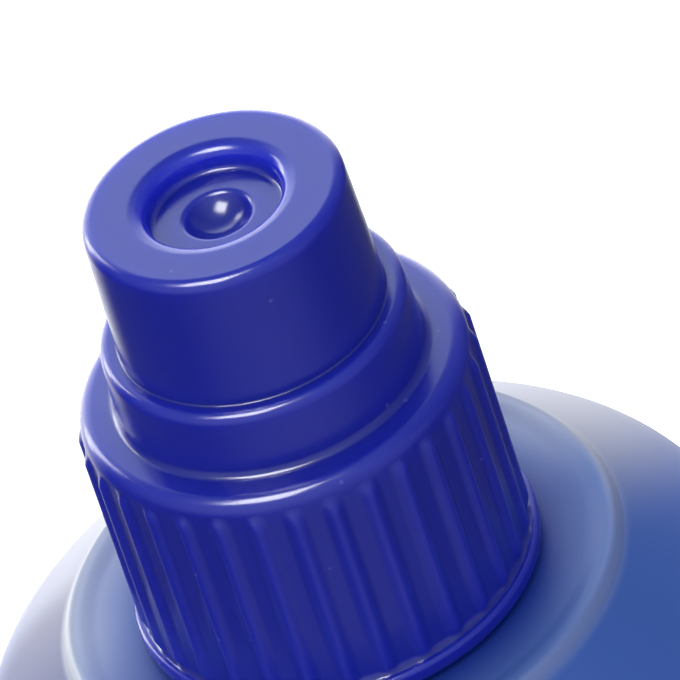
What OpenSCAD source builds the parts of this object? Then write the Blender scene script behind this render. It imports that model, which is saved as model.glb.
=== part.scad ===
// Ink refill bottle: a squeezable bottle of ink with a dropper nozzle pressed into its neck
// and a stepped, ribbed screw cap. Millimetres, +Z up, origin on the base at the bottle's axis.

/* [Bottle] */
// Outside diameter of the bottle
bottle_d = 39.6; // [37:0.2:48]
// Height from the base to the flat ledge round the neck
bottle_h = 60; // [45:1:90]
// Thickness of the blown wall
bottle_wall = 1.1; // [0.8:0.1:1.6]
// Diameter of the raised ledge round the neck
ledge_d = 27.6; // [25:0.2:29]
// Step from the ledge down to the sloping shoulder
ledge_step = 0.25; // [0.2:0.05:0.6]
// Rounding of the ledge's edge
ledge_edge_r = 0.3; // [0.1:0.05:0.35]
// Height of the soft raised rim along the ledge's edge
ledge_rim_h = 0.2; // [0.15:0.05:0.4]
// Width of that raised rim
ledge_rim_w = 1.4; // [1:0.1:2]
// Fall of the sloping shoulder, from the ledge to the line of the side
shoulder_drop = 5; // [4:0.1:7]
// Rounding between the sloping shoulder and the side
shoulder_r = 5.5; // [3:0.5:7]
// Rounding between the side and the base
heel_r = 3; // [2:0.5:5]
// Width of the flat ring that the bottle stands on
stand_w = 2.4; // [1.6:0.2:4]
// Rise of the hollow under the base
pushup_h = 1.2; // [0.6:0.1:2]
// Width of the slope that leads up into that hollow
pushup_run = 2.5; // [1.5:0.1:4]

/* [Neck] */
// Diameter of the neck at the root of its thread
neck_d = 15.2; // [14.4:0.1:16]
// Thickness of the neck's wall
neck_wall = 1.3; // [1:0.1:1.6]
// Rounding of the neck's rim
rim_r = 0.3; // [0.1:0.1:0.5]
// Rounding where the neck meets the ledge
neck_root_r = 0.5; // [0.2:0.1:0.8]
// Height of the thread above the neck
thread_depth = 0.85; // [0.7:0.05:1]

/* [Ink] */
// Air space from the ink's surface up to the underside of the ledge
headspace = 1.4; // [1:0.1:12]

/* [Nozzle] */
// Thickness of the flange on the neck's rim
flange_t = 1; // [0.8:0.1:1.4]
// Inset of the flange from the outside of the neck
flange_inset = 0.1; // [0:0.05:0.3]
// Depth of the plug in the neck
plug_depth = 7; // [5:0.5:9]
// Thickness of the plug's wall
plug_wall = 1; // [0.8:0.1:1.3]
// Inset of the spout's foot from the neck's bore
spout_inset = 1.3; // [1:0.1:1.8]
// Diameter of the spout at its tip
spout_tip_d = 3.8; // [3.4:0.1:4.4]
// Diameter of the dropping hole
orifice_d = 2; // [1.6:0.1:2.2]
// Length of the dropping hole
orifice_len = 2.6; // [2.2:0.1:3.2]
// Rounding of the spout's tip
tip_edge_r = 0.3; // [0.1:0.1:0.4]

/* [Washer] */
// Thickness of the sealing washer
washer_t = 1; // [0.8:0.1:1.5]
// Width of the washer from its hole to its rim
washer_w = 2.6; // [2.2:0.1:3]

/* [Cap skirt] */
// Height of the ribbed skirt
skirt_h = 13.4; // [12:0.1:16]
// Thickness of the skirt's wall between ribs
skirt_wall = 1.05; // [0.9:0.05:1.4]
// Height of the plain band at the bottom of the skirt
band_h = 0.9; // [0.6:0.1:1.4]
// How far the band stands out from the skirt's wall
band_out = 0.5; // [0.36:0.02:0.6]
// Rounding of the band's two edges
band_edge_r = 0.25; // [0.1:0.05:0.3]
// Rounding of the skirt's top edge
skirt_edge_r = 0.8; // [0.4:0.1:0.9]
// Fall of the skirt's shelf from the ring to its edge
shelf_fall = 0.1; // [0.05:0.05:0.3]
// Width of that shelf
shelf_w = 1.95; // [1.6:0.05:2.2]
// Thickness of the shelf
shelf_t = 1.2; // [1:0.1:1.5]

/* [Cap ribs] */
// Number of ribs round the skirt
rib_count = 32; // [24:1:36]
// Width of a rib
rib_w = 0.94; // [0.7:0.02:1]
// How far a rib stands out from the skirt's wall
rib_out = 0.28; // [0.24:0.02:0.32]
// Distance from the skirt's top down to the ribs' round ends
rib_top_gap = 1; // [1:0.1:2.5]
// Distance from the band up to the ribs' round lower ends
rib_foot_gap = 0.3; // [0.1:0.1:2]
// Turn of the row of ribs about the cap's axis, in degrees
rib_turn = 4; // [0:0.5:10]

/* [Cap ring] */
// Height of the step ring above the skirt
ring_h = 3.6; // [3:0.1:4.5]
// How far the ring narrows towards its top
ring_taper = 0.15; // [0.05:0.05:0.25]
// Width of the ring's shelf
ring_shelf_w = 0.9; // [0.7:0.05:1.1]
// Rounding of the ring's top edge
ring_edge_r = 0.5; // [0.2:0.05:0.5]
// Thickness of the ring's wall
ring_wall = 1.2; // [1:0.1:1.4]

/* [Cap top] */
// Height of the top cylinder above the ring
top_h = 7.45; // [6.5:0.05:9]
// How far the cylinder narrows towards its top
top_taper = 0.2; // [0.1:0.05:0.4]
// Rounding of the top edge
top_edge_r = 0.55; // [0.3:0.05:0.7]
// Thickness of the cylinder's wall
top_wall = 1.15; // [1:0.05:1.3]
// Hollow rounding where each step meets the piece above it
step_root_r = 0.35; // [0.15:0.05:0.35]

/* [Cap recess] */
// Diameter of the recess in the top
recess_d = 6.7; // [6.4:0.1:7.2]
// Depth of the recess
recess_depth = 1.2; // [1.15:0.05:1.4]
// Rounding of the recess's rim
recess_edge_r = 0.8; // [0.4:0.05:0.8]
// Hollow rounding round the recess's floor
recess_root_r = 0.3; // [0.1:0.05:0.3]
// Thickness of the cap under the recess
ceiling_t = 1.9; // [1.7:0.1:2.6]
// Diameter of the dish in the middle of the recess
dish_d = 3.4; // [2.8:0.1:4]
// Depth of that dish
dish_depth = 0.95; // [0.5:0.05:1]
// Rounding of the dish's rim
dish_edge_r = 0.2; // [0.1:0.05:0.3]

/* [Cap pin] */
// How far the pin reaches into the dropping hole
pin_reach = 1.6; // [1:0.1:2]

/* [Fits] */
// Gap from the skirt's bottom edge to the ledge
skirt_gap = 0.25; // [0.2:0.05:0.6]
// Gap from the thread's crest to the bore of the cap
thread_clearance = 0.15; // [0.1:0.05:0.25]
// Gap between the plug and the neck's bore
plug_clearance = 0.05; // [0.02:0.01:0.1]
// Gap between the washer and the bore of the cap
washer_clearance = 0.15; // [0.1:0.05:0.3]
// Gap between the pin and the dropping hole
pin_clearance = 0.2; // [0.1:0.05:0.3]
// Gap from the spout's tip up to the inside of the cap
tip_clearance = 1.2; // [0.8:0.1:2]
// Gap between the ink and the side of the bottle
ink_clearance = 0.1; // [0.05:0.05:0.2]

/* [Hidden] */
$fn = 96;
arc_steps = 6;

// Bottle and neck
bottle_r = bottle_d / 2;
ledge_r = ledge_d / 2;
neck_r = neck_d / 2;
neck_bore_r = neck_r - neck_wall;
shoulder_z = bottle_h - ledge_step - shoulder_drop;
shoulder_angle = atan2(shoulder_drop, bottle_r - ledge_r);
stand_r = bottle_r - heel_r;
hollow_r = stand_r - stand_w;
pushup_r = hollow_r - pushup_run;
floor_z = pushup_h + bottle_wall;
roof_z = bottle_h - bottle_wall;
ink_z = roof_z - headspace;

// Cap, from the bottom of its skirt
bore_r = neck_r + thread_depth + thread_clearance;
skirt_r = bore_r + skirt_wall;
band_r = skirt_r + band_out;
ring_r = skirt_r - shelf_w;
ring_top_r = ring_r - ring_taper;
top_foot_r = ring_top_r - ring_shelf_w;
top_r = top_foot_r - top_taper;
ring_z = skirt_h + ring_h;
top_z = ring_z + top_h;
recess_r = recess_d / 2;
recess_z = top_z - recess_depth;
dish_r = dish_d / 2;
dish_sphere_r = (dish_r * dish_r + dish_depth * dish_depth) / (2 * dish_depth);
dish_angle = asin(dish_r / dish_sphere_r);
ceiling_z = recess_z - ceiling_t;
shelf_under_z = skirt_h - shelf_t;
ring_bore_r = ring_top_r - ring_wall;
ring_under_z = ring_z - ring_wall;
top_bore_r = top_r - top_wall;

// Ribs: round bars sunk in the skirt's wall, so that the width and height asked for show
rib_r = (rib_w * rib_w / 4 + rib_out * rib_out) / (2 * rib_out);
rib_axis_r = skirt_r + rib_out - rib_r;
rib_top_z = skirt_h - rib_top_gap - rib_r;
rib_foot_z = band_h + rib_foot_gap + rib_r;

// The stack between the ledge and the cap
cap_z = bottle_h + skirt_gap;
washer_z = cap_z + shelf_under_z - washer_t;
flange_z = washer_z - flange_t;
washer_r = bore_r - washer_clearance;

// Nozzle
flange_r = neck_r - flange_inset;
plug_r = neck_bore_r - plug_clearance;
plug_bore_r = plug_r - plug_wall;
spout_r = neck_bore_r - spout_inset;
spout_tip_r = spout_tip_d / 2;
spout_tip_z = cap_z + ceiling_z - tip_clearance;
orifice_r = orifice_d / 2;
orifice_z = spout_tip_z - orifice_len;
pin_r = orifice_r - pin_clearance;
pin_z = spout_tip_z - pin_reach - cap_z;

// A corner given as [r, z, rounding] becomes the points of its arc
function unit(v) = v / norm(v);
function flat(corner) = [corner[0], corner[1]];
function turn(a) = a > 180 ? a - 360 : a < -180 ? a + 360 : a;
function corner_arc(before, corner, after) =
    let (
        u = unit(flat(before) - flat(corner)),
        v = unit(flat(after) - flat(corner)),
        half = acos(u * v) / 2,
        centre = flat(corner) + unit(u + v) * corner[2] / sin(half),
        first = flat(corner) + u * corner[2] / tan(half) - centre,
        last = flat(corner) + v * corner[2] / tan(half) - centre,
        start = atan2(first[1], first[0]),
        sweep = turn(atan2(last[1], last[0]) - start)
    )
    [for (i = [0 : arc_steps]) let (a = start + sweep * i / arc_steps) centre + corner[2] * [cos(a), sin(a)]];
function rounded(corners) =
    let (n = len(corners))
    [for (i = [0 : n - 1])
        each corners[i][2] > 0
            ? corner_arc(corners[(i + n - 1) % n], corners[i], corners[(i + 1) % n])
            : [flat(corners[i])]];

// The inside of the bottle below its neck, held off the outside by a wall
function cavity(wall) =
    let (
        side_r = bottle_r - wall,
        bend_z = shoulder_z - wall * tan(45 - shoulder_angle / 2),
        roof_r = side_r - (roof_z - bend_z) / tan(shoulder_angle)
    )
    [
        [0, floor_z, 0],
        [pushup_r, floor_z, bottle_wall],
        [hollow_r, bottle_wall, bottle_wall],
        [side_r, bottle_wall, heel_r - bottle_wall],
        [side_r, bend_z, shoulder_r - wall],
        [roof_r, roof_z, bottle_wall]
    ];

module bottle() {
    outside = [
        [0, pushup_h, 0],
        [pushup_r, pushup_h, bottle_wall],
        [hollow_r, 0, bottle_wall / 2],
        [bottle_r, 0, heel_r],
        [bottle_r, shoulder_z, shoulder_r],
        [ledge_r, bottle_h - ledge_step, ledge_edge_r / 2],
        [ledge_r, bottle_h + ledge_rim_h, ledge_edge_r],
        [ledge_r - ledge_rim_w / 2, bottle_h + ledge_rim_h, ledge_rim_w],
        [ledge_r - ledge_rim_w, bottle_h, ledge_rim_w],
        [neck_r, bottle_h, neck_root_r],
        [neck_r, flange_z, rim_r],
        [neck_bore_r, flange_z, 0],
        [0, flange_z, 0]
    ];
    inside = concat(cavity(bottle_wall), [
        [neck_bore_r, roof_z, bottle_wall],
        [neck_bore_r, flange_z, 0],
        [0, flange_z, 0]
    ]);
    color([0.66, 0.72, 0.88, 0.6])
        rotate_extrude()
            difference() {
                polygon(rounded(outside));
                polygon(rounded(inside));
            }
}

module ink() {
    color([0.06, 0.08, 0.45])
        rotate_extrude()
            intersection() {
                polygon(rounded(concat(cavity(bottle_wall + ink_clearance), [[0, roof_z, 0]])));
                square([bottle_r, ink_z]);
            }
}

module dropper_nozzle() {
    section = [
        [plug_bore_r, flange_z - plug_depth, 0],
        [plug_r, flange_z - plug_depth, plug_wall / 3],
        [plug_r, flange_z, 0],
        [flange_r, flange_z, 0],
        [flange_r, flange_z + flange_t, flange_inset],
        [spout_r, flange_z + flange_t, flange_t / 2],
        [spout_tip_r, spout_tip_z, tip_edge_r],
        [orifice_r, spout_tip_z, 0],
        [orifice_r, orifice_z, 0],
        [plug_bore_r - spout_inset / 2, flange_z, plug_wall],
        [plug_bore_r, flange_z - flange_t, plug_wall]
    ];
    color([0.93, 0.93, 0.9])
        rotate_extrude()
            polygon(rounded(section));
}

module sealing_washer() {
    color([0.95, 0.95, 0.93])
        translate([0, 0, washer_z])
            rotate_extrude()
                translate([washer_r - washer_w, 0])
                    square([washer_w, washer_t]);
}

module cap_body() {
    dish = [for (i = [arc_steps - 1 : -1 : 0])
        let (a = dish_angle * i / arc_steps, low = recess_z - dish_depth)
        [dish_sphere_r * sin(a), low + dish_sphere_r * (1 - cos(a)), 0]];
    section = concat([
        [bore_r, 0, 0],
        [band_r, 0, band_edge_r],
        [band_r, band_h, band_edge_r],
        [skirt_r, band_h, 0],
        [skirt_r, skirt_h - shelf_fall, skirt_edge_r],
        [ring_r, skirt_h, step_root_r],
        [ring_top_r, ring_z, ring_edge_r],
        [top_foot_r, ring_z, step_root_r],
        [top_r, top_z, top_edge_r],
        [recess_r, top_z, recess_edge_r],
        [recess_r, recess_z, recess_root_r],
        [dish_r, recess_z, dish_edge_r]
    ], dish, [
        [0, pin_z, 0],
        [pin_r, pin_z, pin_r / 2],
        [pin_r, ceiling_z, 0],
        [top_bore_r, ceiling_z, ring_edge_r],
        [top_bore_r, ring_under_z, 0],
        [ring_bore_r, ring_under_z, ring_edge_r],
        [ring_bore_r, shelf_under_z, 0],
        [bore_r, shelf_under_z, 0]
    ]);
    rotate_extrude()
        polygon(rounded(section));
}

module cap_rib() {
    translate([rib_axis_r, 0, rib_foot_z])
        cylinder(r = rib_r, h = rib_top_z - rib_foot_z);
    for (end_z = [rib_foot_z, rib_top_z])
        translate([rib_axis_r, 0, end_z])
            sphere(r = rib_r);
}

module cap() {
    color([0.13, 0.13, 0.6])
        translate([0, 0, cap_z])
            union() {
                cap_body();
                for (i = [0 : rib_count - 1])
                    rotate([0, 0, rib_turn + 360 * i / rib_count])
                        cap_rib();
            }
}

bottle();
ink();
dropper_nozzle();
sealing_washer();
cap();
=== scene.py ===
import math

import bpy
from mathutils import Matrix, Vector


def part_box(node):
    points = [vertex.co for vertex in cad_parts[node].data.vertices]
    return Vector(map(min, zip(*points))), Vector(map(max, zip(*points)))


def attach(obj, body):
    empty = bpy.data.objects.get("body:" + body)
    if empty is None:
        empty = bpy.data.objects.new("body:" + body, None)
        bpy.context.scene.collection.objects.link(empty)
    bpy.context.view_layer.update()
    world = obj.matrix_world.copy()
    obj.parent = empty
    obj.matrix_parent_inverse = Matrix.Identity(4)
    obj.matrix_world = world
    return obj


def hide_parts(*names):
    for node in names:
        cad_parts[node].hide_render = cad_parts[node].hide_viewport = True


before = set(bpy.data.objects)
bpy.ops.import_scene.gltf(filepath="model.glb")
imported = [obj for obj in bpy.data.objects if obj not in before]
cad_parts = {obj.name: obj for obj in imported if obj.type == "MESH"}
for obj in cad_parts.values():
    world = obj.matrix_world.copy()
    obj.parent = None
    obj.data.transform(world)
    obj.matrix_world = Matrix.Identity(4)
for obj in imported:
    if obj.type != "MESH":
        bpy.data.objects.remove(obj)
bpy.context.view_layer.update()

# Bottle
# A round squeezable bottle, blown in natural low-density polyethylene. The neck is moulded with it, and
# a raised ledge round the neck runs out into a sloping shoulder. It stands on a ring round a hollow base.
MM = 0.001
bottle_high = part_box("bottle")[1]
bottle_r = bottle_high.x
neck_top_z = bottle_high.z
bottle_wall = 1.1 * MM
ledge_z = 60 * MM
ledge_r = 13.8 * MM
ledge_step = 0.25 * MM
ledge_edge_r = 0.3 * MM
ledge_lean_in = 0.1 * MM
ledge_lean_out = 0.25 * MM
ledge_rim_h = 0.2 * MM
ledge_rim_w = 1.4 * MM
shoulder_drop = 5 * MM
shoulder_bend_r = 5.5 * MM
heel_r = 3 * MM
stand_w = 2.4 * MM
pushup_h = 1.2 * MM
pushup_run = 2.5 * MM
neck_r = 7.6 * MM
neck_bore_r = 6.3 * MM
neck_root_r = 0.5 * MM
rim_r = 0.3 * MM
bottle_steps = 192
arc_steps = 8
crease_guard = 0.01 * MM
same_place = MM / 1000


def rounded(corners):
    """The points of an open outline in which each corner (r, z, rounding) has become an arc.

    A point close before and after each arc keeps the shading of the straight stretches flat.
    """
    points = []
    for i, (r, z, rounding) in enumerate(corners):
        corner = Vector((r, z))
        if rounding == 0:
            points.append(corner)
            continue
        back = (Vector(corners[i - 1][:2]) - corner).normalized()
        ahead = (Vector(corners[i + 1][:2]) - corner).normalized()
        half = back.angle(ahead) / 2
        centre = corner + (back + ahead).normalized() * rounding / math.sin(half)
        first = corner + back * rounding / math.tan(half) - centre
        last = corner + ahead * rounding / math.tan(half) - centre
        start = math.atan2(first.y, first.x)
        sweep = math.remainder(math.atan2(last.y, last.x) - start, math.tau)
        points.append(centre + first + back * crease_guard)
        for step in range(arc_steps + 1):
            angle = start + sweep * step / arc_steps
            points.append(centre + rounding * Vector((math.cos(angle), math.sin(angle))))
        points.append(centre + last + ahead * crease_guard)
    return points


def turned(name, outline, steps, turns=1, rise=0):
    """A piece turned on the Z axis: its outline is drawn point by point and spun; a thread rises as well."""
    bpy.ops.object.select_all(action="DESELECT")
    bpy.ops.mesh.primitive_plane_add(size=MM)
    piece = bpy.context.object
    piece.name = piece.data.name = name
    bpy.ops.object.mode_set(mode="EDIT")
    bpy.ops.mesh.merge(type="CENTER")
    bpy.ops.transform.translate(value=(outline[0].x, 0, outline[0].y))
    for here, there in zip(outline, outline[1:]):
        step = there - here
        bpy.ops.mesh.extrude_vertices_move(TRANSFORM_OT_translate={"value": (step.x, 0, step.y)})
    bpy.ops.object.mode_set(mode="OBJECT")
    bpy.ops.object.modifier_add(type="SCREW")
    lathe = piece.modifiers[-1]
    lathe.axis = "Z"
    lathe.angle = math.tau * turns
    lathe.screw_offset = rise
    lathe.steps = lathe.render_steps = steps
    bpy.ops.object.modifier_apply(modifier=lathe.name)
    bpy.ops.object.mode_set(mode="EDIT")
    bpy.ops.mesh.select_all(action="SELECT")
    bpy.ops.mesh.remove_doubles(threshold=same_place)
    bpy.ops.mesh.fill_holes(sides=0)
    bpy.ops.mesh.normals_make_consistent(inside=False)
    bpy.ops.object.mode_set(mode="OBJECT")
    bpy.ops.object.shade_smooth()
    return piece


stand_r = bottle_r - heel_r
hollow_r = stand_r - stand_w
pushup_r = hollow_r - pushup_run
step_z = ledge_z - ledge_step
shoulder_z = step_z - shoulder_drop
shoulder_angle = math.atan2(shoulder_drop, bottle_r - ledge_r)
side_r = bottle_r - bottle_wall
roof_z = ledge_z - bottle_wall
bend_z = shoulder_z - bottle_wall * math.tan(math.pi / 4 - shoulder_angle / 2)
roof_r = side_r - (roof_z - bend_z) / math.tan(shoulder_angle)
bottle_outline = rounded([
    (0, pushup_h, 0),
    (pushup_r, pushup_h, bottle_wall),
    (hollow_r, 0, bottle_wall / 2),
    (bottle_r, 0, heel_r),
    (bottle_r, shoulder_z, shoulder_bend_r),
    (ledge_r + ledge_lean_out, step_z - ledge_lean_out * math.tan(shoulder_angle), ledge_edge_r),
    (ledge_r - ledge_lean_in, ledge_z + ledge_rim_h, ledge_edge_r),
    (ledge_r - ledge_rim_w / 2, ledge_z + ledge_rim_h, ledge_rim_w),
    (ledge_r - ledge_rim_w, ledge_z, ledge_rim_w),
    (neck_r, ledge_z, neck_root_r),
    (neck_r, neck_top_z, rim_r),
    (neck_bore_r, neck_top_z, rim_r),
    (neck_bore_r, roof_z, bottle_wall),
    (roof_r, roof_z, bottle_wall),
    (side_r, bend_z, shoulder_bend_r - bottle_wall),
    (side_r, bottle_wall, heel_r - bottle_wall),
    (hollow_r, bottle_wall, bottle_wall),
    (pushup_r, pushup_h + bottle_wall, bottle_wall),
    (0, pushup_h + bottle_wall, 0),
])
bottle = turned("blown_bottle", bottle_outline, bottle_steps)


def linear(hex_colour):
    """An sRGB hex colour as the linear colour that a shader takes."""
    channels = [int(hex_colour[i:i + 2], 16) / 255 for i in (1, 3, 5)]
    return [c / 12.92 if c <= 0.04045 else ((c + 0.055) / 1.055) ** 2.4 for c in channels] + [1.0]


def add_node(material, kind, inputs, **settings):
    """Adds a node with its settings; an input that is another node's socket becomes a link."""
    node = material.node_tree.nodes.new(kind)
    for name, value in settings.items():
        setattr(node, name, value)
    for name, value in inputs.items():
        if isinstance(value, bpy.types.NodeSocket):
            material.node_tree.links.new(value, node.inputs[name])
        else:
            node.inputs[name].default_value = value
    return node


def new_material(name, inputs):
    """A node material with its Principled shader, and the socket of the piece's own place in millimetres."""
    material = bpy.data.materials.new(name)
    material.use_nodes = True
    material.node_tree.nodes.clear()
    own_place = add_node(material, "ShaderNodeTexCoord", {})
    millimetres = add_node(material, "ShaderNodeVectorMath", {
        0: own_place.outputs["Object"], "Scale": 1 / MM}, operation="SCALE")
    shader = add_node(material, "ShaderNodeBsdfPrincipled", inputs)
    add_node(material, "ShaderNodeOutputMaterial", {"Surface": shader.outputs["BSDF"]})
    return material, shader, millimetres.outputs["Vector"]


# Natural polyethylene is milky, with a waxy skin that shines less than its usual IOR of 1.51 would. The ink
# shows blue through the shoulder, which is painted pale towards the back as a glow of light from behind, and
# a darker purple patch is painted low at the left. A film of ink tints the ledge blue, with painted shade of
# the cap darkest near the neck and a painted glow paler towards the back, and the ledge's rim has a painted
# glow.
back_glow_slope = Vector((0.0, 1.0, 1.5))
back_glow_edge_y = 2 * MM
back_glow_edge = back_glow_slope.dot(Vector((0, back_glow_edge_y, ledge_z)))
back_glow_ahead = 7 * MM
back_glow_behind = 4 * MM
dark_patch_place = Vector((-15.5 * MM, 3 * MM, ledge_z - 2 * MM))
dark_patch_core_r = 2.5 * MM
dark_patch_edge_r = 6.5 * MM
dark_patch_strength = 0.72
cap_shade_r = 10.4 * MM
cap_shade_end_r = 13.2 * MM
ledge_glow_slope = Vector((-0.2, 1.0, 0.0))
ledge_glow_start_y = -2.5 * MM
ledge_glow_full_y = 5 * MM
clean_w = 1 * MM
clean_r = neck_r + clean_w
inked_r = clean_r + clean_w
rim_light_left = 0.9
rim_light_right = 0.2
grain_w = 1.1 * MM
grain_depth = 0.05 * MM
polyethylene, shader, place = new_material("natural_polyethylene", {
    "Roughness": 0.45, "IOR": 1.37, "Transmission Weight": 0.15})
# Painted glow: the shoulder is painted paler towards the back and top, as if lit from behind through the
# milky wall.
along_back_glow = add_node(polyethylene, "ShaderNodeVectorMath", {0: place, 1: back_glow_slope}, operation="DOT_PRODUCT")
back_glow = add_node(polyethylene, "ShaderNodeMapRange", {
    "Value": along_back_glow.outputs["Value"],
    "From Min": (back_glow_edge - back_glow_ahead) / MM, "From Max": (back_glow_edge + back_glow_behind) / MM},
    interpolation_type="SMOOTHSTEP")
shoulder_colour = add_node(polyethylene, "ShaderNodeMix", {
    "Factor": back_glow.outputs["Result"], "A": linear("#4369be"), "B": linear("#a8a6ba")}, data_type="RGBA")
# A darker purple patch is painted low on the left of the shoulder.
from_dark_patch = add_node(polyethylene, "ShaderNodeVectorMath", {
    0: place, 1: dark_patch_place / MM}, operation="DISTANCE")
dark_patch = add_node(polyethylene, "ShaderNodeMapRange", {
    "Value": from_dark_patch.outputs["Value"], "From Min": dark_patch_core_r / MM, "From Max": dark_patch_edge_r / MM,
    "To Min": dark_patch_strength, "To Max": 0.0}, interpolation_type="SMOOTHSTEP")
patched_colour = add_node(polyethylene, "ShaderNodeMix", {
    "Factor": dark_patch.outputs["Result"], "A": shoulder_colour.outputs["Result"], "B": linear("#3f3c73")},
    data_type="RGBA")
flat_place = add_node(polyethylene, "ShaderNodeVectorMath", {0: place, 1: (1, 1, 0)}, operation="MULTIPLY")
from_axis = add_node(polyethylene, "ShaderNodeVectorMath", {
    0: flat_place.outputs["Vector"]}, operation="LENGTH")
# Painted shade of the cap: the ledge's blue is painted darkest next to the neck and lighter outwards.
out_of_cap_shade = add_node(polyethylene, "ShaderNodeMapRange", {
    "Value": from_axis.outputs["Value"], "From Min": cap_shade_r / MM, "From Max": cap_shade_end_r / MM})
front_film = add_node(polyethylene, "ShaderNodeMix", {
    "Factor": out_of_cap_shade.outputs["Result"], "A": linear("#1a3c9e"), "B": linear("#5e7cbe")}, data_type="RGBA")
backlit_film = add_node(polyethylene, "ShaderNodeMix", {
    "Factor": out_of_cap_shade.outputs["Result"], "A": linear("#6078bc"), "B": linear("#c6c8de")}, data_type="RGBA")
# Painted glow: the ledge is painted paler towards the back and the left, as if lit from behind through the
# milky wall.
along_ledge_glow = add_node(polyethylene, "ShaderNodeVectorMath", {
    0: place, 1: ledge_glow_slope}, operation="DOT_PRODUCT")
ledge_glow = add_node(polyethylene, "ShaderNodeMapRange", {
    "Value": along_ledge_glow.outputs["Value"], "From Min": ledge_glow_start_y / MM, "From Max": ledge_glow_full_y / MM},
    interpolation_type="SMOOTHSTEP")
film_with_shade_and_glow = add_node(polyethylene, "ShaderNodeMix", {
    "Factor": ledge_glow.outputs["Result"], "A": front_film.outputs["Result"], "B": backlit_film.outputs["Result"]},
    data_type="RGBA")
past_neck = add_node(polyethylene, "ShaderNodeMapRange", {
    "Value": from_axis.outputs["Value"], "From Min": clean_r / MM, "From Max": inked_r / MM})
ledge_colour = add_node(polyethylene, "ShaderNodeMix", {
    "Factor": past_neck.outputs["Result"], "A": linear("#c9ccd8"), "B": film_with_shade_and_glow.outputs["Result"]},
    data_type="RGBA")
past_ledge = add_node(polyethylene, "ShaderNodeMapRange", {
    "Value": from_axis.outputs["Value"],
    "From Min": (ledge_r - 2 * ledge_edge_r) / MM, "From Max": ledge_r / MM},
    interpolation_type="SMOOTHSTEP")
wall_colour = add_node(polyethylene, "ShaderNodeMix", {
    "Factor": past_ledge.outputs["Result"], "A": ledge_colour.outputs["Result"],
    "B": patched_colour.outputs["Result"]}, data_type="RGBA")
before_slope = add_node(polyethylene, "ShaderNodeMapRange", {
    "Value": from_axis.outputs["Value"],
    "From Min": ledge_r / MM, "From Max": (ledge_r + 2 * ledge_edge_r) / MM,
    "To Min": 1.0, "To Max": 0.0}, interpolation_type="SMOOTHSTEP")
# A painted glow on the ledge's rim, strongest on the left, where the window shines through it.
rim = add_node(polyethylene, "ShaderNodeMath", {
    0: past_ledge.outputs["Result"], 1: before_slope.outputs["Result"]}, operation="MULTIPLY")
split_place = add_node(polyethylene, "ShaderNodeSeparateXYZ", {"Vector": place})
rim_light = add_node(polyethylene, "ShaderNodeMapRange", {
    "Value": split_place.outputs["X"], "From Min": -ledge_r / MM, "From Max": 0.0,
    "To Min": rim_light_left, "To Max": rim_light_right})
lit_rim = add_node(polyethylene, "ShaderNodeMath", {
    0: rim.outputs["Value"], 1: rim_light.outputs["Result"]}, operation="MULTIPLY")
bottle_colour = add_node(polyethylene, "ShaderNodeMix", {
    "Factor": lit_rim.outputs["Value"], "A": wall_colour.outputs["Result"], "B": linear("#e8e8ec")},
    data_type="RGBA")
polyethylene.node_tree.links.new(bottle_colour.outputs["Result"], shader.inputs["Base Color"])
grain = add_node(polyethylene, "ShaderNodeTexNoise", {"Vector": place, "Scale": MM / grain_w, "Detail": 4.0})
skin = add_node(polyethylene, "ShaderNodeBump", {
    "Height": grain.outputs["Fac"], "Strength": 0.08, "Distance": grain_depth})
polyethylene.node_tree.links.new(skin.outputs["Normal"], shader.inputs["Normal"])
bottle.data.materials.append(polyethylene)
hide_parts("bottle")
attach(bottle, "bottle")

# Neck thread
# A single right-hand thread, moulded with the neck in the same polyethylene. Its flanks slant and its ends
# run out into the neck's wall. It shows only when the cap is unscrewed.
thread_lead = 3.175 * MM
thread_turns = 1.5
thread_h = 0.85 * MM
thread_foot_w = 2 * MM
thread_crest_w = 0.9 * MM
thread_fade_turns = 0.12
thread_sunk = 0.1 * MM
thread_start_h = 3 * MM
thread_start_z = ledge_z + thread_start_h
thread_steps = 144
thread_edge_angle = math.radians(30)


def thread(name, wall_r, crest_r, foot_w, crest_w, start_z):
    """A thread that stands on a wall of radius wall_r and fades into it at both ends."""
    foot_r = wall_r - math.copysign(thread_sunk, crest_r - wall_r)
    section = [Vector(point) for point in (
        (foot_r, start_z - foot_w / 2),
        (crest_r, start_z - crest_w / 2),
        (crest_r, start_z + crest_w / 2),
        (foot_r, start_z + foot_w / 2),
        (foot_r, start_z - foot_w / 2),
    )]
    piece = turned(name, section, thread_steps, turns=thread_turns, rise=thread_lead * thread_turns)
    for vertex in piece.data.vertices:
        x, y, z = vertex.co
        angle = math.atan2(y, x) / math.tau
        along = angle + round((z - start_z) / thread_lead - angle)
        to_end = min(along, thread_turns - along)
        fade = min(1.0, max(0.0, to_end / thread_fade_turns))
        radius = math.hypot(x, y)
        scale = (foot_r + (radius - foot_r) * fade * fade * (3 - 2 * fade)) / radius
        vertex.co = x * scale, y * scale, z
    bpy.ops.object.shade_smooth_by_angle(angle=thread_edge_angle)
    return piece


neck_thread = thread("neck_thread", neck_r, neck_r + thread_h, thread_foot_w, thread_crest_w, thread_start_z)
neck_thread.data.materials.append(polyethylene)
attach(neck_thread, "bottle")

# Ink
# Blue ink, a thin liquid poured in before the nozzle is pressed home. It fills the bottle to just under the
# ledge and is seen only through the wall, as one deep and slightly uneven blue.
cloud_w = 12.5 * MM
blue_ink, shader, place = new_material("blue_ink", {"Roughness": 0.12, "IOR": 1.34})
cloud = add_node(blue_ink, "ShaderNodeTexNoise", {"Vector": place, "Scale": MM / cloud_w, "Detail": 2.0})
ink_colour = add_node(blue_ink, "ShaderNodeMix", {
    "Factor": cloud.outputs["Fac"], "A": linear("#10279c"), "B": linear("#1a37b4")}, data_type="RGBA")
blue_ink.node_tree.links.new(ink_colour.outputs["Result"], shader.inputs["Base Color"])
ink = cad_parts["ink"]
ink.data.materials.clear()
ink.data.materials.append(blue_ink)

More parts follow.
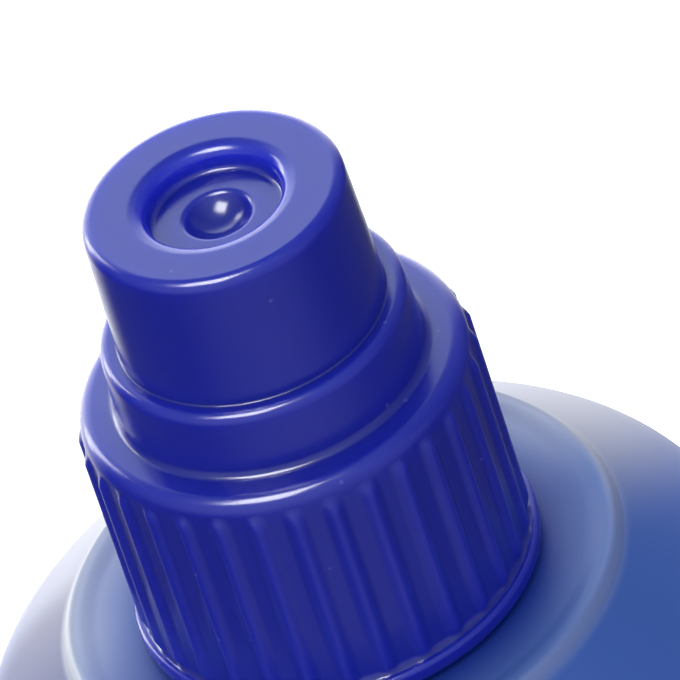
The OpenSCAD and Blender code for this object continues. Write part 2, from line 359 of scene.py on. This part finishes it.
# Dropper nozzle
# A plug moulded in white polyethylene and pressed into the neck. Its flange sits on the rim, and the ink
# drops from its spout. The plastic is waxy, with a faint haze.
haze_w = 2 * MM
nozzle_plastic, shader, place = new_material("white_polyethylene", {"Roughness": 0.38, "IOR": 1.51})
haze = add_node(nozzle_plastic, "ShaderNodeTexNoise", {"Vector": place, "Scale": MM / haze_w, "Detail": 3.0})
nozzle_colour = add_node(nozzle_plastic, "ShaderNodeMix", {
    "Factor": haze.outputs["Fac"], "A": linear("#e9e9e2"), "B": linear("#f4f4ee")}, data_type="RGBA")
nozzle_plastic.node_tree.links.new(nozzle_colour.outputs["Result"], shader.inputs["Base Color"])
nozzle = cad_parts["dropper_nozzle"]
nozzle.data.materials.clear()
nozzle.data.materials.append(nozzle_plastic)

# Sealing washer
# A ring punched from white polyethylene foam and pushed up into the cap, which closes on the nozzle's flange.
# Closed-cell foam is dull, with fine pits all over.
cell_w = 0.15 * MM
cell_depth = 0.05 * MM
foam, shader, place = new_material("polyethylene_foam", {"Base Color": linear("#f0f0ec"), "Roughness": 0.8})
cells = add_node(foam, "ShaderNodeTexVoronoi", {"Vector": place, "Scale": MM / cell_w})
pits = add_node(foam, "ShaderNodeBump", {
    "Height": cells.outputs["Distance"], "Strength": 0.5, "Distance": cell_depth})
foam.node_tree.links.new(pits.outputs["Normal"], shader.inputs["Normal"])
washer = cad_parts["sealing_washer"]
washer.data.materials.clear()
washer.data.materials.append(foam)

# Cap
# One moulding in glossy blue polypropylene: a ribbed skirt that screws down on the neck, a step ring over the
# nozzle's foot, and a narrow top over its spout. A dish in the recess marks where the mould was filled.
cap_low, cap_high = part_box("cap")
cap_z = cap_low.z
band_r = cap_high.x
top_z = cap_high.z
band_h = 0.9 * MM
band_edge_r = 0.25 * MM
skirt_r = 9.65 * MM
skirt_h = 13.4 * MM
skirt_edge_r = 0.8 * MM
shelf_fall = 0.1 * MM
ring_r = 7.7 * MM
ring_top_r = 7.55 * MM
ring_h = 3.6 * MM
ring_edge_r = 0.5 * MM
ring_root_r = 0.4 * MM
top_foot_r = 6.65 * MM
top_r = 6.45 * MM
top_edge_r = 0.55 * MM
top_root_r = 0.1 * MM
recess_r = 3.35 * MM
recess_depth = 1.2 * MM
recess_edge_r = 0.6 * MM
recess_root_r = 0.3 * MM
lip_r = 4.1 * MM
lip_fall = 0.17 * MM
lip_blend_r = 1 * MM
dish_r = 1.7 * MM
dish_depth = 0.95 * MM
dish_edge_r = 0.4 * MM
dish_steps = 10
bore_r = 8.6 * MM
ring_bore_r = 6.35 * MM
top_bore_r = 5.3 * MM
shelf_wall = 1.2 * MM
ceiling_wall = 1.9 * MM
pin_r = 0.8 * MM
pin_h = 2.8 * MM
rib_count = 32
rib_w = 0.94 * MM
rib_out = 0.28 * MM
rib_blend = 0.3 * MM
rib_top_gap = 1 * MM
rib_foot_gap = 0.3 * MM
rib_turn = math.radians(4)
rib_steps = 14
wall_row = 0.3 * MM

skirt_z = cap_z + skirt_h
ring_z = skirt_z + ring_h
recess_z = top_z - recess_depth
shelf_under_z = skirt_z - shelf_wall
ring_under_z = ring_z - shelf_wall
ceiling_z = recess_z - ceiling_wall
pin_z = ceiling_z - pin_h
dish_sphere_r = (dish_r ** 2 + dish_depth ** 2) / (2 * dish_depth)
dish_angle = math.asin(dish_r / dish_sphere_r)

# The dish is a shallow bowl, and its last step is left to the rounded edge.
dish = []
for step in range(dish_steps - 1):
    angle = dish_angle * step / dish_steps
    dish_rise = dish_sphere_r * (1 - math.cos(angle))
    dish.append((dish_sphere_r * math.sin(angle), recess_z - dish_depth + dish_rise, 0))
wall_foot_z = cap_z + band_h
shelf_edge_z = skirt_z - shelf_fall
wall_top_z = shelf_edge_z - skirt_edge_r
wall_rows = int((wall_top_z - wall_foot_z) / wall_row)
wall = [(skirt_r, wall_top_z - wall_row * row, 0) for row in range(1, wall_rows)]
cap_outline = rounded(dish + [
    (dish_r, recess_z, dish_edge_r),
    (recess_r, recess_z, recess_root_r),
    (recess_r, top_z - lip_fall, recess_edge_r),
    (lip_r, top_z, lip_blend_r),
    (top_r, top_z, top_edge_r),
    (top_foot_r, ring_z, top_root_r),
    (ring_top_r, ring_z, ring_edge_r),
    (ring_r, skirt_z, ring_root_r),
    (skirt_r, shelf_edge_z, skirt_edge_r),
] + wall + [
    (skirt_r, wall_foot_z, 0),
    (band_r, wall_foot_z, band_edge_r),
    (band_r, cap_z, band_edge_r),
    (bore_r, cap_z, 0),
    (bore_r, shelf_under_z, 0),
    (ring_bore_r, shelf_under_z, 0),
    (ring_bore_r, ring_under_z, ring_edge_r),
    (top_bore_r, ring_under_z, 0),
    (top_bore_r, ceiling_z, ring_edge_r),
    (pin_r, ceiling_z, 0),
    (pin_r, pin_z, pin_r / 2),
    (0, pin_z, 0),
])
cap = turned("moulded_cap", cap_outline, rib_count * rib_steps)

# The ribs are low round bars with round ends, blended softly into the wall. Their height is painted on the
# skirt as a weight, and the wall is then pushed out by that weight.
rib_pitch = math.tau / rib_count
rib_reach = (rib_w + rib_blend) / 2
rib_top_z = skirt_z - rib_top_gap
rib_foot_z = wall_foot_z + rib_foot_gap
rib_middle_z = (rib_top_z + rib_foot_z) / 2
rib_half_h = (rib_top_z - rib_foot_z - rib_w) / 2
ribs = cap.vertex_groups.new(name="ribs")
for vertex in cap.data.vertices:
    x, y, z = vertex.co
    if abs(math.hypot(x, y) - skirt_r) < same_place and wall_foot_z < z < wall_top_z:
        beside = skirt_r * math.remainder(math.atan2(y, x) - rib_turn, rib_pitch)
        past_end = max(0.0, abs(z - rib_middle_z) - rib_half_h)
        from_rib = math.hypot(beside, past_end) / rib_reach
        if from_rib < 1:
            ribs.add([vertex.index], (1 - from_rib ** 2) ** 2, "REPLACE")
bpy.ops.object.modifier_add(type="DISPLACE")
push = cap.modifiers[-1]
push.vertex_group = ribs.name
push.mid_level = 0
push.strength = rib_out
bpy.ops.object.modifier_apply(modifier=push.name)

# Polypropylene moulds to a high gloss and is dyed through. The recess wall is painted a brighter blue, a
# painted glow for light that comes through the lip; a faint waviness, rub marks and a few specks of dust
# break the shine.
light_depth = 3 * MM
tint_w = 4 * MM
speck_spacing = 2.6 * MM
speck_w = 0.3 * MM
speck_strength = 0.2
speck_edge = speck_w / speck_spacing / 2
rub_w = 0.625 * MM
rub_low, rub_high = 0.3, 0.7
clean_roughness, rubbed_roughness = 0.15, 0.24
wave_w = 1.4 * MM
wave_depth = 0.05 * MM
polypropylene, shader, place = new_material("glossy_polypropylene", {
    "IOR": 1.49, "Subsurface Weight": 0.9, "Subsurface Radius": (0.25, 0.3, 1.0),
    "Subsurface Scale": light_depth})
tint = add_node(polypropylene, "ShaderNodeTexNoise", {"Vector": place, "Scale": MM / tint_w, "Detail": 3.0})
dyed_colour = add_node(polypropylene, "ShaderNodeMix", {
    "Factor": tint.outputs["Fac"], "A": linear("#1c26a4"), "B": linear("#1e29aa")}, data_type="RGBA")
flat_place = add_node(polypropylene, "ShaderNodeVectorMath", {0: place, 1: (1, 1, 0)}, operation="MULTIPLY")
from_axis = add_node(polypropylene, "ShaderNodeVectorMath", {
    0: flat_place.outputs["Vector"]}, operation="LENGTH")
# Painted glow: the recess wall is painted a brighter blue, standing in for light that comes through the lip.
in_lip = add_node(polypropylene, "ShaderNodeMapRange", {
    "Value": from_axis.outputs["Value"], "From Min": recess_r / MM, "From Max": lip_r / MM,
    "To Min": 1.0, "To Max": 0.0}, interpolation_type="SMOOTHSTEP")
off_floor = add_node(polypropylene, "ShaderNodeMapRange", {
    "Value": from_axis.outputs["Value"],
    "From Min": (recess_r - recess_root_r) / MM, "From Max": recess_r / MM})
recess_wall = add_node(polypropylene, "ShaderNodeMath", {
    0: in_lip.outputs["Result"], 1: off_floor.outputs["Result"]}, operation="MULTIPLY")
lit_through = add_node(polypropylene, "ShaderNodeMix", {
    "Factor": recess_wall.outputs["Value"], "A": dyed_colour.outputs["Result"], "B": linear("#2632c6")},
    data_type="RGBA")
specks = add_node(polypropylene, "ShaderNodeTexVoronoi", {"Vector": place, "Scale": MM / speck_spacing})
near_speck = add_node(polypropylene, "ShaderNodeMapRange", {
    "Value": specks.outputs["Distance"], "From Min": speck_edge / 2, "From Max": speck_edge,
    "To Min": speck_strength, "To Max": 0.0}, interpolation_type="SMOOTHSTEP")
cap_colour = add_node(polypropylene, "ShaderNodeMix", {
    "Factor": near_speck.outputs["Result"], "A": lit_through.outputs["Result"], "B": linear("#8f93d8")},
    data_type="RGBA")
polypropylene.node_tree.links.new(cap_colour.outputs["Result"], shader.inputs["Base Color"])
rub = add_node(polypropylene, "ShaderNodeTexNoise", {"Vector": place, "Scale": MM / rub_w, "Detail": 6.0})
gloss = add_node(polypropylene, "ShaderNodeMapRange", {
    "Value": rub.outputs["Fac"], "From Min": rub_low, "From Max": rub_high,
    "To Min": clean_roughness, "To Max": rubbed_roughness})
polypropylene.node_tree.links.new(gloss.outputs["Result"], shader.inputs["Roughness"])
wave = add_node(polypropylene, "ShaderNodeTexNoise", {"Vector": place, "Scale": MM / wave_w, "Detail": 2.0})
ripple = add_node(polypropylene, "ShaderNodeBump", {
    "Height": wave.outputs["Fac"], "Strength": 0.12, "Distance": wave_depth})
polypropylene.node_tree.links.new(ripple.outputs["Normal"], shader.inputs["Normal"])
cap.data.materials.append(polypropylene)
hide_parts("cap")
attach(cap, "cap")

# Cap thread
# The thread inside the skirt, moulded with the cap in the same polypropylene. It is a little slimmer than the
# neck's thread and starts half a lead lower, so that their flanks slide along each other.
thread_play = 0.1 * MM
cap_thread = thread("cap_thread", bore_r, bore_r - thread_h, thread_foot_w - thread_play,
                    thread_crest_w - thread_play, thread_start_z - thread_lead / 2)
cap_thread.data.materials.append(polypropylene)
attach(cap_thread, "cap")

# Floor and light
# A plain white floor in a small light tent that glows white behind the bottle and is dim in front. A lamp
# over the front and a window behind at the left only add their shine to the glossy pieces.
floor_size = 4.0
bpy.ops.object.select_all(action="DESELECT")
bpy.ops.mesh.primitive_plane_add(size=floor_size)
floor = bpy.context.object
floor.name = "floor"

# Matt white paint that glows a little, so that the floor is as white as the tent.
floor_paint = new_material("white_floor", {
    "Base Color": linear("#f2f2f2"), "Roughness": 0.9, "Emission Color": linear("#ffffff"),
    "Emission Strength": 0.6})[0]
floor.data.materials.append(floor_paint)
floor.visible_glossy = False
floor.visible_diffuse = False

# Each patch of the tent has a direction, the cosine at its edge, the cosine at its core, and a strength.
tent_glow = 0.1
tent_patches = {
    "back wall": ((-0.16, 0.98, 0.06), 0.58, 1.0, 3.9),
    "roof over the front left": ((-0.5, -0.5, 0.75), 0.2, 1.0, 0.7),
    "roof over the back right": ((0.25, 0.6, 0.75), 0.5, 1.0, 0.3),
    "front wall": ((0.06, -0.95, 0.3), 0.1, 0.9, 0.55),
    "right wall": ((0.8, 0.1, 0.55), 0.4, 0.95, 0.15),
}
world = bpy.data.worlds.new("light_tent")
bpy.context.scene.world = world
world.use_nodes = True
sky = add_node(world, "ShaderNodeTexCoord", {})
glow = tent_glow
for name, (direction, edge, core, strength) in tent_patches.items():
    facing = add_node(world, "ShaderNodeVectorMath", {
        0: sky.outputs["Generated"], 1: Vector(direction).normalized()}, operation="DOT_PRODUCT")
    patch = add_node(world, "ShaderNodeMapRange", {
        "Value": facing.outputs["Value"], "From Min": edge, "From Max": core,
        "To Min": 0.0, "To Max": strength}, interpolation_type="SMOOTHSTEP", label=name)
    total = add_node(world, "ShaderNodeMath", {0: glow, 1: patch.outputs["Result"]}, operation="ADD")
    glow = total.outputs["Value"]
split_sky = add_node(world, "ShaderNodeSeparateXYZ", {"Vector": sky.outputs["Generated"]})
cool_roof = add_node(world, "ShaderNodeMix", {
    "Factor": split_sky.outputs["Z"], "A": linear("#ffffff"), "B": linear("#d4ecff")}, data_type="RGBA")
tent = world.node_tree.nodes["Background"]
world.node_tree.links.new(cool_roof.outputs["Result"], tent.inputs["Color"])
world.node_tree.links.new(glow, tent.inputs["Strength"])

lamp_aim_h = 12 * MM
lamp_aim = Vector((0, 0, cap_z + lamp_aim_h))


def lamp(name, direction, distance, width, height, radiance):
    """A rectangular lamp whose shine is seen in the cap; the tent gives all of the soft light."""
    bpy.ops.object.light_add(type="AREA")
    light = bpy.context.object
    light.name = name
    light.data.shape = "RECTANGLE"
    light.data.size = width
    light.data.size_y = height
    light.data.energy = radiance * math.pi * width * height
    way = Vector(direction).normalized()
    light.location = lamp_aim + way * distance
    light.rotation_euler = way.to_track_quat("Z", "Y").to_euler()
    light.visible_diffuse = False


lamp("window", (-0.63, 0.70, 0.36), distance=0.5, width=0.1, height=0.36, radiance=8)
lamp("overhead_lamp", (-0.25, -0.30, 0.92), distance=0.6, width=0.3, height=0.3, radiance=20)

# Camera
# A long lens that looks down on the cap from the front, rolled so that the bottle leans to the left. Its
# place and angles are those from which the photograph was taken.
eye_distance = 610.5 * MM
eye_height = math.radians(39.97)
pan = math.radians(0.44)
tilt = math.radians(38.96)
roll = math.radians(-18.65)
sensor_width = 36.0
image_width = 680
focal_pixels = 12572
nearest = 10 * MM
camera_data = bpy.data.cameras.new("camera")
camera_data.sensor_width = sensor_width
camera_data.lens = focal_pixels / image_width * sensor_width
camera_data.clip_start = nearest
camera = bpy.data.objects.new("camera", camera_data)
bpy.context.scene.collection.objects.link(camera)
ahead = Vector((math.sin(pan) * math.cos(tilt), math.cos(pan) * math.cos(tilt), -math.sin(tilt)))
level = Vector((math.cos(pan), -math.sin(pan), 0))
upright = level.cross(ahead)
right = math.cos(roll) * level + math.sin(roll) * upright
up = -math.sin(roll) * level + math.cos(roll) * upright
turn = Matrix((right, up, -ahead)).transposed()
eye = Vector((0, -eye_distance * math.cos(eye_height), ledge_z + eye_distance * math.sin(eye_height)))
camera.matrix_world = Matrix.Translation(eye) @ turn.to_4x4()
bpy.context.scene.camera = camera
bpy.context.scene.view_settings.view_transform = "Standard"
